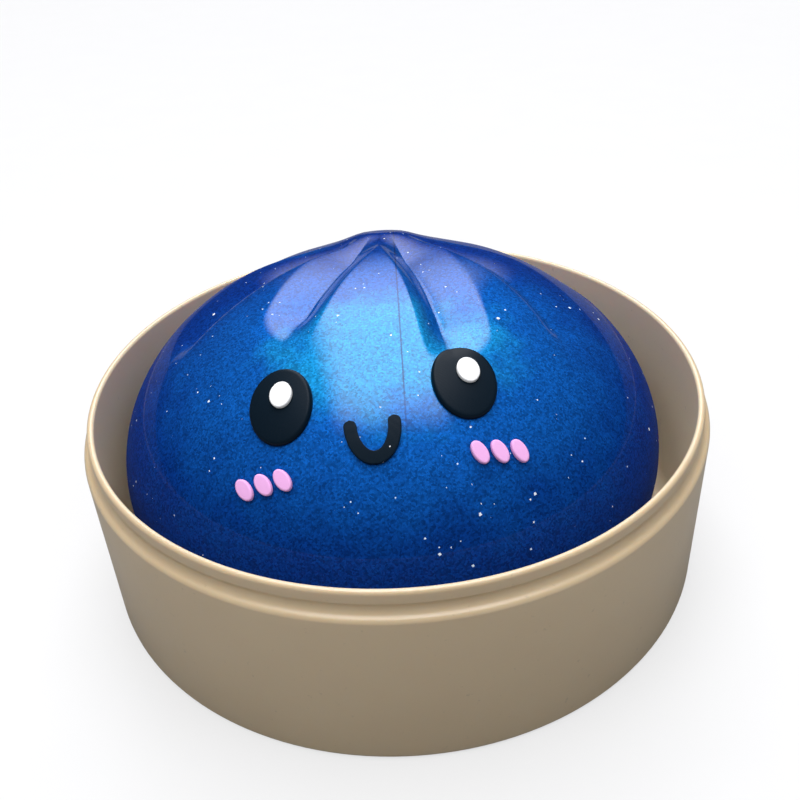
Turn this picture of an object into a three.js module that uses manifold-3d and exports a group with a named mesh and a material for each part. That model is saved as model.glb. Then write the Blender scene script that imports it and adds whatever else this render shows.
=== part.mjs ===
// A squeezable bun in a steamer basket: an elastomer skin filled with gel, a face of raised pads,
// and a round moulded basket that it rests in.
// Millimetres, +Z up, the face looking towards -Y. The origin is the middle of the basket's foot.

import * as THREE from 'three';
import { mergeVertices } from 'three/addons/utils/BufferGeometryUtils.js';
import Module from 'manifold-3d';

const wasm = await Module();
wasm.setup();

// Clearances
const TOUCH_GAP = 0.3; // between two pieces that touch or are bonded
const CUT_MARGIN = 2; // how far a cutting tool runs past what it cuts

// Basket
const BASKET_HEIGHT = 32;
const WALL_DRAFT = 0.3; // how far the wall leans in from its shoulder to its foot
const FOOT_FILLET = 1;
const SHOULDER_RADIUS = 52.5;
const SHOULDER_DROP = 3.1; // from the rim down to the top of the shoulder's rounded edge
const SHOULDER_EDGE_RADIUS = 0.8;
const SPIGOT_STEP = 1.2; // how far the spigot stands in from the shoulder
const SPIGOT_HEIGHT = 2; // upright part of the spigot, above its coved foot
const RIM_THICKNESS = 1.1;
const FLOOR_THICKNESS = 2;
const INNER_DRAFT = 0.6; // how much narrower the hollow is at its floor than at its rim
const INNER_FILLET = 3;
const BASKET_SEGMENTS = 72;
const ARC_STEPS = 4;

// Bun
const BUN_SIDE_GAP = 4.4; // between the bun's girth and the basket's rim, were the bun centred
const CROWN_HEIGHT = 32; // from the widest girth up to the top of the smooth crown
const GIRTH_HEIGHT = 17.7; // from the bun's flat seat up to its widest girth
const BELLY_DEPTH = 25; // how deep the belly's curve would run if the seat did not flatten it
const BUN_REST_X = -1; // where the loose bun lies in the basket
const BUN_REST_Y = -0.9;
const SKIN_WALL = 1.8;
const PORT_RADIUS = 3;
const KNOT_TILT = 27.4; // degrees that the pleats' knot leans back from straight up
const KNOT_HEIGHT = 1.3;
const KNOT_SPREAD = 7; // degrees from the knot's middle to where it has nearly died out
const PLEAT_COUNT = 10;
const PLEAT_DEPTH = 1.2; // how far the grooves sink below the smooth crown
const PLEAT_START = 6; // degrees from the knot
const PLEAT_PEAK = 24;
const PLEAT_END = 56;
const PLEAT_PHASE = 10; // degrees from the front to the first groove, about the knot
const SKIN_SEGMENTS = 60;
const SKIN_RINGS = 30;
const CAVITY_SEGMENTS = 40;
const CAVITY_RINGS = 20;
const PORT_SEGMENTS = 24;

// Face: a flat layout in millimetres, laid on the bun about the face's middle
const FACE_AZIMUTH = -93.8; // degrees about Z, -90 being straight to the front
const FACE_ELEVATION = 47; // degrees up the crown from its widest girth
const FACE_ROLL = 7.1; // degrees that the face is turned, its right side raised
const EYE_SPREAD = 12.95;
const EYE_RISE = 5.9;
const EYE_HALF_WIDTH = 4.7;
const EYE_HALF_HEIGHT = 6;
const EYE_THICKNESS = 1.2;
const HIGHLIGHT_HALF_WIDTH = 1.65;
const HIGHLIGHT_HALF_HEIGHT = 2.05;
const HIGHLIGHT_SHIFT_X = 0.5;
const HIGHLIGHT_SHIFT_Y = 1.1;
const HIGHLIGHT_THICKNESS = 0.5;
const MOUTH_SHIFT_X = -0.5;
const MOUTH_TOP = 0.6;
const MOUTH_HALF_WIDTH = 3.05;
const MOUTH_DEPTH = 4.8;
const MOUTH_STROKE = 1.8;
const MOUTH_THICKNESS = 0.9;
const BLUSH_COUNT = 3;
const BLUSH_SPREAD = 16.1;
const BLUSH_RISE = -4.85;
const BLUSH_GAP = 0.27; // between the outermost sides of neighbouring ovals
const BLUSH_HALF_WIDTH = 1.05;
const BLUSH_HALF_HEIGHT = 1.75;
const BLUSH_SLANT = 28; // degrees that an oval's top leans to the left
const BLUSH_THICKNESS = 0.7;
const OVAL_STEPS = 32;
const SMALL_OVAL_STEPS = 20;
const STROKE_STEPS = 14;
const CAP_STEPS = 6;

// Derived places
const SEAT_Z = FLOOR_THICKNESS + TOUCH_GAP;
const GIRTH_Z = SEAT_Z + GIRTH_HEIGHT;
const SPIGOT_RADIUS = SHOULDER_RADIUS - SPIGOT_STEP;
const HOLLOW_RADIUS = SPIGOT_RADIUS - RIM_THICKNESS;
const BUN_RADIUS = HOLLOW_RADIUS - BUN_SIDE_GAP;
const FOOT_RADIUS = SHOULDER_RADIUS - WALL_DRAFT;

// ---- Materials

function material(colour, roughness) {
  return new THREE.MeshStandardMaterial({ color: colour, roughness, metalness: 0 });
}

const basketPlastic = () => material(0xd9c29a, 0.45);
const bunElastomer = () => material(0x0b3f9e, 0.12);
const blueGel = () => material(0x1d6fe0, 0.35);
const plugElastomer = () => material(0x0a3480, 0.3);
const blackPad = () => material(0x111214, 0.35);
const whitePad = () => material(0xf4f4f4, 0.35);
const pinkPad = () => material(0xf0a6e0, 0.4);

// ---- Solids

function toSolid(geometry) {
  const bare = geometry.clone();
  bare.deleteAttribute('normal');
  bare.deleteAttribute('uv');
  const merged = mergeVertices(bare);
  const vertProperties = new Float32Array(merged.attributes.position.array);
  const triVerts = new Uint32Array(merged.index.array);
  return new wasm.Manifold(new wasm.Mesh({ numProp: 3, vertProperties, triVerts }));
}

function toGeometry(solid) {
  const mesh = solid.getMesh();
  const geometry = new THREE.BufferGeometry();
  geometry.setAttribute('position', new THREE.BufferAttribute(mesh.vertProperties, 3));
  geometry.setIndex(new THREE.BufferAttribute(mesh.triVerts, 1));
  geometry.computeVertexNormals();
  return geometry;
}

function namedMesh(name, geometry, look) {
  const mesh = new THREE.Mesh(geometry, look);
  mesh.name = name;
  return mesh;
}

// ---- Basket

function arcPoints(centreX, centreZ, radius, fromDegrees, toDegrees) {
  const points = [];
  for (let step = 0; step <= ARC_STEPS; step += 1) {
    const angle = THREE.MathUtils.degToRad(
      fromDegrees + ((toDegrees - fromDegrees) * step) / ARC_STEPS,
    );
    const x = centreX + radius * Math.cos(angle);
    const z = centreZ + radius * Math.sin(angle);
    points.push(new THREE.Vector2(x, z));
  }
  return points;
}

function basketProfile() {
  const shoulderTop = BASKET_HEIGHT - SHOULDER_DROP;
  const edgeZ = shoulderTop - SHOULDER_EDGE_RADIUS;
  const edgeX = SHOULDER_RADIUS - SHOULDER_EDGE_RADIUS;
  const rimRadius = RIM_THICKNESS / 2;
  const rimX = HOLLOW_RADIUS + rimRadius;
  const rimZ = BASKET_HEIGHT - rimRadius;
  const hollowFloorRadius = HOLLOW_RADIUS - INNER_DRAFT;
  const innerFilletX = hollowFloorRadius - INNER_FILLET;
  const innerFilletZ = FLOOR_THICKNESS + INNER_FILLET;
  return [
    new THREE.Vector2(0, 0),
    ...arcPoints(FOOT_RADIUS - FOOT_FILLET, FOOT_FILLET, FOOT_FILLET, -90, 0),
    ...arcPoints(edgeX, edgeZ, SHOULDER_EDGE_RADIUS, 0, 75),
    new THREE.Vector2(SPIGOT_RADIUS, BASKET_HEIGHT - SPIGOT_HEIGHT),
    ...arcPoints(rimX, rimZ, rimRadius, 0, 180),
    ...arcPoints(innerFilletX, innerFilletZ, INNER_FILLET, 0, -90),
    new THREE.Vector2(0, FLOOR_THICKNESS),
  ];
}

function basketTub() {
  const geometry = new THREE.LatheGeometry(basketProfile(), BASKET_SEGMENTS);
  geometry.rotateX(Math.PI / 2);
  return namedMesh('basket_tub', geometry, basketPlastic());
}

// ---- Bun

function pleatStrength(degreesFromKnot) {
  const rise = THREE.MathUtils.smoothstep(degreesFromKnot, PLEAT_START, PLEAT_PEAK);
  const fall = 1 - THREE.MathUtils.smoothstep(degreesFromKnot, PLEAT_PEAK, PLEAT_END);
  return rise * fall;
}

// Height of the pleats and the knot over the smooth crown, in the knot's own directions.
function reliefHeight(direction) {
  const fromKnot = THREE.MathUtils.radToDeg(Math.acos(THREE.MathUtils.clamp(direction.z, -1, 1)));
  const aroundKnot = Math.atan2(direction.x, -direction.y);
  const phase = THREE.MathUtils.degToRad(PLEAT_PHASE);
  const wave = Math.abs(Math.sin(((aroundKnot - phase) * PLEAT_COUNT) / 2));
  const pleat = -PLEAT_DEPTH * (1 - wave) * pleatStrength(fromKnot);
  const knot = KNOT_HEIGHT * Math.exp(-((fromKnot / KNOT_SPREAD) ** 2));
  return pleat + knot;
}

// The bun's rounded body at a distance outside its surface, before its seat is cut flat.
function roundBody(offset, segments, rings, withRelief) {
  const geometry = new THREE.SphereGeometry(1, segments, rings);
  geometry.rotateX(Math.PI / 2);
  const lean = new THREE.Matrix4().makeRotationX(-THREE.MathUtils.degToRad(KNOT_TILT));
  const position = geometry.attributes.position;
  const direction = new THREE.Vector3();
  for (let index = 0; index < position.count; index += 1) {
    direction.fromBufferAttribute(position, index).normalize();
    const relief = withRelief ? reliefHeight(direction) : 0;
    direction.applyMatrix4(lean);
    const growth = offset + relief;
    const height = direction.z > 0 ? CROWN_HEIGHT : BELLY_DEPTH;
    position.setXYZ(
      index,
      direction.x * (BUN_RADIUS + growth),
      direction.y * (BUN_RADIUS + growth),
      direction.z * (height + growth),
    );
  }
  return toSolid(geometry);
}

// A block that holds everything above a level, measured from the widest girth.
function blockAbove(level) {
  const width = 2 * (BUN_RADIUS + CUT_MARGIN);
  const top = CROWN_HEIGHT + KNOT_HEIGHT + CUT_MARGIN;
  const geometry = new THREE.BoxGeometry(width, width, top - level);
  geometry.translate(0, 0, (top + level) / 2);
  return toSolid(geometry);
}

function seatedBody(inset, segments, rings, withRelief) {
  const body = roundBody(-inset, segments, rings, withRelief);
  return body.intersect(blockAbove(inset - GIRTH_HEIGHT));
}

function uprightCylinder(radius, bottom, top) {
  const geometry = new THREE.CylinderGeometry(radius, radius, top - bottom, PORT_SEGMENTS);
  geometry.rotateX(Math.PI / 2);
  geometry.translate(0, 0, (bottom + top) / 2);
  return geometry;
}

function bunSkin() {
  const outside = seatedBody(0, SKIN_SEGMENTS, SKIN_RINGS, true);
  const cavity = seatedBody(SKIN_WALL, CAVITY_SEGMENTS, CAVITY_RINGS, false);
  const portBottom = -GIRTH_HEIGHT - CUT_MARGIN;
  const portTop = -GIRTH_HEIGHT + SKIN_WALL + CUT_MARGIN;
  const port = toSolid(uprightCylinder(PORT_RADIUS, portBottom, portTop));
  return namedMesh('bun_skin', toGeometry(outside.subtract(cavity).subtract(port)), bunElastomer());
}

function gelFilling() {
  const solid = seatedBody(SKIN_WALL + TOUCH_GAP, CAVITY_SEGMENTS, CAVITY_RINGS, false);
  return namedMesh('gel_filling', toGeometry(solid), blueGel());
}

function fillPlug() {
  const radius = PORT_RADIUS - TOUCH_GAP;
  const geometry = uprightCylinder(radius, -GIRTH_HEIGHT, -GIRTH_HEIGHT + SKIN_WALL);
  return namedMesh('fill_plug', geometry, plugElastomer());
}

// ---- Face

function crownScale() {
  return new THREE.Vector3(BUN_RADIUS, BUN_RADIUS, CROWN_HEIGHT);
}

function crownNormal(point) {
  const scale = crownScale();
  return point.clone().divide(scale).divide(scale).normalize();
}

function faceFrame() {
  const azimuth = THREE.MathUtils.degToRad(FACE_AZIMUTH);
  const elevation = THREE.MathUtils.degToRad(FACE_ELEVATION);
  const roll = THREE.MathUtils.degToRad(FACE_ROLL);
  const middle = new THREE.Vector3(
    Math.cos(elevation) * Math.cos(azimuth),
    Math.cos(elevation) * Math.sin(azimuth),
    Math.sin(elevation),
  ).multiply(crownScale());
  const outward = crownNormal(middle);
  const level = new THREE.Vector3(0, 0, 1).cross(outward).normalize();
  const right = level.applyAxisAngle(outward, roll);
  const up = outward.clone().cross(right);
  return { middle, outward, right, up };
}

// The point of the smooth crown under a place of the flat face layout.
function pointOnCrown(frame, acrossFace, upFace) {
  const scale = crownScale();
  const start = frame.middle.clone();
  start.addScaledVector(frame.right, acrossFace).addScaledVector(frame.up, upFace);
  const unitStart = start.clone().divide(scale);
  const unitStep = frame.outward.clone().divide(scale);
  const a = unitStep.dot(unitStep);
  const b = unitStart.dot(unitStep);
  const c = unitStart.dot(unitStart) - 1;
  const travel = (-b + Math.sqrt(b * b - a * c)) / a;
  return start.addScaledVector(frame.outward, travel);
}

function placementOnCrown(frame, acrossFace, upFace) {
  const point = pointOnCrown(frame, acrossFace, upFace);
  const outward = crownNormal(point);
  const up = frame.up.clone().addScaledVector(outward, -frame.up.dot(outward)).normalize();
  const right = up.clone().cross(outward);
  return new THREE.Matrix4().makeBasis(right, up, outward).setPosition(point);
}

function ovalOutline(halfWidth, halfHeight, steps, slantDegrees) {
  const slant = THREE.MathUtils.degToRad(slantDegrees);
  const curve = new THREE.EllipseCurve(
    0, 0, halfWidth, halfHeight, 0, 2 * Math.PI, false, slant,
  );
  return new THREE.Shape(curve.getPoints(steps).slice(0, steps));
}

function mouthOutline() {
  const half = MOUTH_STROKE / 2;
  const outer = [];
  const inner = [];
  for (let step = 0; step <= STROKE_STEPS; step += 1) {
    const angle = Math.PI + (Math.PI * step) / STROKE_STEPS;
    const x = MOUTH_HALF_WIDTH * Math.cos(angle);
    const y = MOUTH_DEPTH * Math.sin(angle);
    const normal = new THREE.Vector2(x / MOUTH_HALF_WIDTH ** 2, y / MOUTH_DEPTH ** 2).normalize();
    outer.push(new THREE.Vector2(x + normal.x * half, y + normal.y * half));
    inner.push(new THREE.Vector2(x - normal.x * half, y - normal.y * half));
  }
  const rightEnd = roundEnd(MOUTH_HALF_WIDTH, half);
  const leftEnd = roundEnd(-MOUTH_HALF_WIDTH, half);
  return new THREE.Shape([...outer, ...rightEnd, ...inner.reverse(), ...leftEnd]);
}

// Points over the top of a stroke's end, from its right side to its left.
function roundEnd(centreX, radius) {
  const points = [];
  for (let step = 1; step < CAP_STEPS; step += 1) {
    const angle = (Math.PI * step) / CAP_STEPS;
    points.push(new THREE.Vector2(centreX + radius * Math.cos(angle), radius * Math.sin(angle)));
  }
  return points;
}

// A pad of one thickness that follows the bun, lifted off it by a clearance.
function pad(name, look, outline, placement, lift, thickness) {
  const reach = lift + thickness + CUT_MARGIN;
  const prism = new THREE.ExtrudeGeometry(outline, { depth: 2 * reach, bevelEnabled: false });
  prism.translate(0, 0, -reach);
  prism.applyMatrix4(placement);
  const below = roundBody(lift, SKIN_SEGMENTS, SKIN_RINGS, true);
  const above = roundBody(lift + thickness, SKIN_SEGMENTS, SKIN_RINGS, true);
  const solid = toSolid(prism).intersect(above).subtract(below);
  return namedMesh(name, toGeometry(solid), look);
}

function eyePads(frame, side, sideName) {
  const across = side * EYE_SPREAD;
  const eyeOutline = ovalOutline(EYE_HALF_WIDTH, EYE_HALF_HEIGHT, OVAL_STEPS, 0);
  const eyePlace = placementOnCrown(frame, across, EYE_RISE);
  const shineOutline = ovalOutline(
    HIGHLIGHT_HALF_WIDTH, HIGHLIGHT_HALF_HEIGHT, SMALL_OVAL_STEPS, 0,
  );
  const shinePlace = placementOnCrown(
    frame, across + HIGHLIGHT_SHIFT_X, EYE_RISE + HIGHLIGHT_SHIFT_Y,
  );
  const shineLift = TOUCH_GAP + EYE_THICKNESS + TOUCH_GAP;
  return [
    pad(`eye_${sideName}`, blackPad(), eyeOutline, eyePlace, TOUCH_GAP, EYE_THICKNESS),
    pad(
      `eye_highlight_${sideName}`, whitePad(), shineOutline, shinePlace,
      shineLift, HIGHLIGHT_THICKNESS,
    ),
  ];
}

function mouthPad(frame) {
  const place = placementOnCrown(frame, MOUTH_SHIFT_X, MOUTH_TOP);
  return pad('mouth', blackPad(), mouthOutline(), place, TOUCH_GAP, MOUTH_THICKNESS);
}

// Half the distance across a slanted oval, measured straight to its sides.
function slantedReach(halfWidth, halfHeight, slantDegrees) {
  const slant = THREE.MathUtils.degToRad(slantDegrees);
  return Math.hypot(halfWidth * Math.cos(slant), halfHeight * Math.sin(slant));
}

function blushPads(frame, side, sideName) {
  const reach = slantedReach(BLUSH_HALF_WIDTH, BLUSH_HALF_HEIGHT, BLUSH_SLANT);
  const pitch = 2 * reach + BLUSH_GAP;
  const pads = [];
  for (let index = 0; index < BLUSH_COUNT; index += 1) {
    const across = side * BLUSH_SPREAD + (index - (BLUSH_COUNT - 1) / 2) * pitch;
    const outline = ovalOutline(
      BLUSH_HALF_WIDTH, BLUSH_HALF_HEIGHT, SMALL_OVAL_STEPS, BLUSH_SLANT,
    );
    const place = placementOnCrown(frame, across, BLUSH_RISE);
    const name = `blush_${sideName}_${index + 1}`;
    pads.push(pad(name, pinkPad(), outline, place, TOUCH_GAP, BLUSH_THICKNESS));
  }
  return pads;
}

// ---- Assembly

function bun() {
  const group = new THREE.Group();
  const frame = faceFrame();
  group.add(bunSkin(), gelFilling(), fillPlug());
  group.add(...eyePads(frame, -1, 'left'), ...eyePads(frame, 1, 'right'));
  group.add(mouthPad(frame));
  group.add(...blushPads(frame, -1, 'left'), ...blushPads(frame, 1, 'right'));
  group.position.set(BUN_REST_X, BUN_REST_Y, GIRTH_Z);
  return group;
}

const product = new THREE.Group();
product.add(basketTub(), bun());

export default product;
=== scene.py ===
"""A squeezable bun with a smiling face, resting in a round moulded steamer basket.

Every piece is one operator in the sidebar's Squeeze Bun panel, and its sizes and colours are
properties of the scene. Metres, +Z up, the face towards -Y.
"""

import math
from collections import namedtuple

import bmesh
import bpy
from bpy.props import FloatProperty, FloatVectorProperty, IntProperty, PointerProperty
from mathutils import Matrix, Vector


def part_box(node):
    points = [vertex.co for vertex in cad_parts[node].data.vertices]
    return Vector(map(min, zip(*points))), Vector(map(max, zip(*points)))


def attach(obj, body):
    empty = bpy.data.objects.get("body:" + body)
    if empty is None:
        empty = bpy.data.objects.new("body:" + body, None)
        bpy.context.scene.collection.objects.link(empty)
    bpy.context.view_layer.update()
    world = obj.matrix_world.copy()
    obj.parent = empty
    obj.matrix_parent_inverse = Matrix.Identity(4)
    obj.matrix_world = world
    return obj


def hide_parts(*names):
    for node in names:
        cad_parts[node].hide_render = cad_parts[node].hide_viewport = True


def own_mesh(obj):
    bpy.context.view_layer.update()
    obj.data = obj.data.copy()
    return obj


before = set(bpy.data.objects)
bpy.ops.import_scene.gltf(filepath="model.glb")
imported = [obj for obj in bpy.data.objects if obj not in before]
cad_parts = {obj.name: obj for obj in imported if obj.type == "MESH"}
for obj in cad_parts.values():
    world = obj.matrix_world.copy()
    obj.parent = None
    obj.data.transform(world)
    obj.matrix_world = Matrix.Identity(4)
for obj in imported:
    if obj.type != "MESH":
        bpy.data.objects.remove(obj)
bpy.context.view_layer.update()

bl_info = {
    "name": "Squeeze bun in a steamer basket",
    "version": (1, 0, 0),
    "blender": (4, 5, 0),
    "location": "3D Viewport > Sidebar > Squeeze Bun",
    "description": "Builds a gel-filled squeeze bun with a raised face, and the basket it rests in",
    "category": "Object",
}

MM = 0.001
TUB_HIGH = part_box("basket_tub")[1]
SKIN_LOW, SKIN_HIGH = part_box("bun_skin")

# The painted glow: a pool of light painted into the pearl's colour on the face, falling to painted
# shade on the sides: its place from the bun's centre, how fast it falls along each axis, how far it
# reaches, and how far the clouds in the pearl shift it.
PAINTED_GLOW_PLACE = Vector((0.5, -19, 28.8)) * MM
PAINTED_GLOW_SHAPE = (0.78, 1.1, 1.1)
PAINTED_GLOW_REACH = 40 * MM
PAINTED_GLOW_DRIFT = 7 * MM

# The studio's strip of light: how far to each side it fades out and is full, and where it rises
# and ends on its way from the horizon behind to overhead.
STRIP_SIDES = (math.radians(21), math.radians(13))
STRIP_RISE = (math.radians(10), math.radians(48))
STRIP_END = (math.radians(107), math.radians(90))

LIGHT_DISTANCE = 0.8  # from the bun to each soft light
LIGHT_SIZE = (0.5, 0.4)

INSIDE_STEPS = (120, 60)  # steps round the knot and down, on the skin's inside and the gel

# One gathered fold: where its groove's bottom lies about the knot (degrees from the front, right
# positive), how wide its steep side is (positive if it is right of the bottom) and its gentle
# side, how deep it is, how far from the knot it dies out, and how much it drifts.
FULL_WIDTH_AT = 35  # degrees from the knot where a fold has its own place and widths
NARROWS_FROM = 12.0  # degrees from the knot, inside which a fold widens no more
FADE_RUN = 12  # degrees over which a fold dies out
STEEP_POWER = 1.15  # how sharply a steep side rises from the bottom
GENTLE_POWER = 1.3  # how sharply a gentle side does
Pleat = namedtuple("Pleat", "groove steep gentle depth_mm dies_at drift")

PLEATS = (
    Pleat(-128, 8, 30, 1.1, 54, 0.0),
    Pleat(-93, 8, 26, 1.2, 50, 0.0),
    Pleat(-59, 8, 28, 2.6, 60, -0.15),
    Pleat(-24.5, 8, 15, 2.1, 52, -0.08),
    Pleat(15.2, -8, 16, 2.4, 58, -0.05),
    Pleat(49.5, -6, 24, 1.2, 62, -0.2),
    Pleat(84, -8, 26, 1.2, 54, 0.0),
    Pleat(118, -8, 26, 1.1, 56, 0.0),
    Pleat(152, -8, 26, 1.2, 52, 0.0),
    Pleat(188, -8, 28, 1.1, 55, 0.0),
)


# ---- Sizes and colours


def length(name, millimetres, description):
    """A distance property whose default is given in millimetres."""
    return FloatProperty(
        name=name,
        description=description,
        default=millimetres * MM,
        subtype="DISTANCE",
        unit="LENGTH",
        precision=5,
    )


def angle(name, degrees, description):
    """An angle property whose default is given in degrees."""
    return FloatProperty(
        name=name,
        description=description,
        default=math.radians(degrees),
        subtype="ANGLE",
        unit="ROTATION",
    )


def colour(name, default, description):
    """A colour property, in linear light."""
    return FloatVectorProperty(
        name=name,
        description=description,
        default=default,
        subtype="COLOR",
        size=3,
        min=0.0,
        max=1.0,
    )


class BasketSizes(bpy.types.PropertyGroup):
    """The steamer basket's sizes and plastic."""

    wall_draft: length("Wall draft", 0.3, "How far the wall leans in from shoulder to foot")
    foot_fillet: length("Foot fillet", 1.0, "Radius of the rounded foot edge")
    shoulder_drop: length("Shoulder drop", 3.85, "From the rim down to the shoulder's corner")
    shoulder_edge: length("Shoulder edge", 0.6, "Radius of the shoulder's rounded edge")
    spigot_step: length("Spigot step", 1.2, "How far the upright spigot stands in")
    spigot_height: length("Spigot height", 2.0, "From the rim down to the crease under its lip")
    lip_step: length("Lip step", 0.16, "How far the spigot's lip stands out over the cove")
    cove_drop: length("Cove drop", 3.65, "From the rim down to the cove's corner")
    cove: length("Cove", 1.0, "Radius of the hollow between spigot and shoulder")
    rim_thickness: length("Rim thickness", 1.1, "Wall thickness at the rim")
    floor_thickness: length("Floor thickness", 2.0, "Thickness of the basket's floor")
    inner_draft: length("Inner draft", 0.6, "How much the hollow narrows down to its floor")
    inner_fillet: length("Inner fillet", 3.0, "Radius between the inner wall and the floor")
    segments: IntProperty(
        name="Segments", description="Steps round the basket", default=180, min=24, max=360
    )
    plastic: colour("Plastic", (0.72, 0.57, 0.37), "Cream plastic")
    # The inside's paler colour is painted light, standing in for the light that falls into the
    # hollow.
    satin: colour("Painted_inside_light", (0.90, 0.75, 0.52), "The paler inside of the basket")


class BunSizes(bpy.types.PropertyGroup):
    """The bun's body sizes, its pleats and its colours."""

    crown_height: length("Crown height", 32.0, "From the widest girth up to the smooth crown")
    girth_height: length("Girth height", 17.7, "From the flat seat up to the widest girth")
    belly_depth: length("Belly depth", 25.0, "How deep the belly would run without its seat")
    inner_relief: FloatProperty(
        name="Inner relief", description="Share of the folds that the inside has", default=0.45
    )
    skin_wall: length("Skin wall", 1.8, "Thickness of the elastomer skin")
    gel_gap: length("Gel gap", 0.3, "Clearance between the skin and its filling")
    seat_round: length("Seat rounding", 1.0, "Radius where the belly meets the seat")
    port_radius: length("Port radius", 3.0, "Radius of the filling port in the seat")
    knot_tilt: angle("Knot tilt", 27.4, "How far the pleats' knot leans back")
    knot_height: length("Knot height", 0.9, "How far the knot stands up")
    knot_spread: angle("Knot spread", 7.0, "Angle over which the knot dies out")
    knot_dimple: length("Knot dimple", 0.5, "How deep the knot's middle is pinched in")
    pleat_start: angle("Pleat start", 5.0, "Angle from the knot where the pleats begin")
    pleat_peak: angle("Pleat peak", 20.0, "Angle from the knot where they are deepest")
    seam_shift: length("Seam shift", 2.0, "How far right of its middle the mould line runs")
    segments: IntProperty(
        name="Segments", description="Steps round the knot", default=432, min=60, max=480
    )
    rings: IntProperty(
        name="Rings", description="Steps from the knot to the belly", default=120, min=24, max=240
    )
    # Glow, Azure and Navy are the stops of a painted-light ramp on the skin: a painted pool of
    # light in the middle of the face that falls to painted shade down the sides. Azure is also the
    # gel's own colour, and Navy the plug's.
    glow: colour("Glow", (0.010, 0.26, 0.58), "Pearl gathered in the middle of the face")
    azure: colour("Azure", (0.0045, 0.105, 0.45), "Pearl round the face and on the crown")
    navy: colour("Navy", (0.0025, 0.036, 0.25), "Deep pearl of the sides")
    flake: colour("Flakes", (0.90, 0.93, 1.0), "Scattered glitter")


class FaceSizes(bpy.types.PropertyGroup):
    """The flat layout of the face's pads, and their colours."""

    azimuth: angle("Face azimuth", -93.8, "Direction that the face looks in, about Z")
    elevation: angle("Face elevation", 47.0, "How far up the crown the face's middle is")
    roll: angle("Face roll", 7.1, "How far the face is turned, its right side raised")
    eye_spread: length("Eye spread", 12.95, "From the face's middle to an eye's middle")
    eye_rise: length("Eye rise", 5.9, "Height of the eyes above the face's middle")
    eye_half_width: length("Eye half width", 4.7, "Half the width of an eye")
    eye_half_height: length("Eye half height", 6.0, "Half the height of an eye")
    eye_thickness: length("Eye thickness", 0.6, "Thickness of an eye pad")
    eye_round: length("Eye rounding", 0.45, "Radius of an eye's edge")
    eye_dome: length("Eye dome", 0.25, "How much higher an eye's middle is than its edge")
    shine_half_width: length("Highlight half width", 1.65, "Half the width of a highlight")
    shine_half_height: length("Highlight half height", 2.05, "Half the height of a highlight")
    shine_shift_x: length("Highlight shift", 0.5, "How far right of the eye's middle it sits")
    shine_shift_y: length("Highlight rise", 1.1, "How far above the eye's middle it sits")
    shine_thickness: length("Highlight thickness", 0.5, "Thickness of a highlight pad")
    shine_round: length("Highlight rounding", 0.2, "Radius of a highlight's edge")
    shine_dome: length("Highlight dome", 0.05, "How much higher its middle is than its edge")
    mouth_shift: length("Mouth shift", -0.5, "How far right of the face's middle it sits")
    mouth_top: length("Mouth top", 0.6, "Height of the mouth's ends")
    mouth_half_width: length("Mouth half width", 3.05, "Half the distance between its ends")
    mouth_depth: length("Mouth depth", 4.8, "From its ends down to its lowest point")
    mouth_stroke: length("Mouth stroke", 1.8, "Width of the mouth's stroke")
    mouth_thickness: length("Mouth thickness", 0.6, "Thickness of the mouth pad")
    mouth_round: length("Mouth rounding", 0.35, "Radius of the mouth's edge")
    blush_spread: length("Blush spread", 16.1, "From the face's middle to a cheek's middle")
    blush_rise: length("Blush rise", -4.85, "Height of the cheeks above the face's middle")
    blush_pitch: length("Blush pitch", 2.75, "Between neighbouring ovals")
    blush_half_width: length("Blush half width", 1.05, "Half the width of an oval")
    blush_half_height: length("Blush half height", 1.75, "Half the height of an oval")
    blush_thickness: length("Blush thickness", 0.6, "Thickness of a blush oval")
    blush_round: length("Blush rounding", 0.3, "Radius of an oval's edge")
    blush_slant: angle("Blush slant", 28.0, "How far an oval's top leans to the left")
    bond_lift: length("Bond line", 0.12, "How far an eye or the mouth stands off the skin")
    blush_lift: length("Blush bond line", 0.27, "How far a blush oval stands off the skin")
    black: colour("Black", (0.002, 0.006, 0.011), "Eyes and mouth")
    white: colour("White", (0.97, 0.97, 0.97), "Highlights in the eyes")
    pink: colour("Pink", (0.94, 0.48, 0.86), "Blush ovals")


class StageSizes(bpy.types.PropertyGroup):
    """The floor, the soft lights and the camera."""

    lens: FloatProperty(
        name="Lens", description="Focal length in millimetres", default=41.49, min=10, max=200
    )
    camera_back: length("Camera back", 133.64, "How far in front of the basket's middle it is")
    camera_height: length("Camera height", 117.62, "Height of the camera over the floor")
    pitch: angle("Camera pitch", 31.31, "How far down the camera looks")
    yaw: angle("Camera yaw", 1.725, "How far right the camera looks")
    roll: angle("Camera roll", -2.48, "How far the camera is turned about its own axis")
    shift_x: FloatProperty(name="Shift X", description="Sideways shift", default=-0.0227)
    shift_y: FloatProperty(name="Shift Y", description="Upward shift", default=-0.0653)
    sky_strength: FloatProperty(
        name="Strip", description="Brightness of the strip of light over it", default=3.3, min=0.0
    )
    key_strength: FloatProperty(
        name="Key", description="Brightness of the soft key light", default=3.4, min=0.0
    )
    fill_strength: FloatProperty(
        name="Fill", description="Brightness of everything else around", default=0.05, min=0.0
    )
    diffuse_fill: FloatProperty(
        name="Soft fill", description="More of it, for matt surfaces only", default=0.24, min=0.0
    )
    floor_colour: colour("Floor", (0.80, 0.80, 0.81), "Plain pale floor")


GROUPS = {
    "basket_sizes": BasketSizes,
    "bun_sizes": BunSizes,
    "face_sizes": FaceSizes,
    "stage_sizes": StageSizes,
}


# ---- The bun's form


def smooth_step(value, low, high):
    """0 below low, 1 above high, and an eased rise between them."""
    t = min(1.0, max(0.0, (value - low) / (high - low)))
    return t * t * (3.0 - 2.0 * t)


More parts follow.
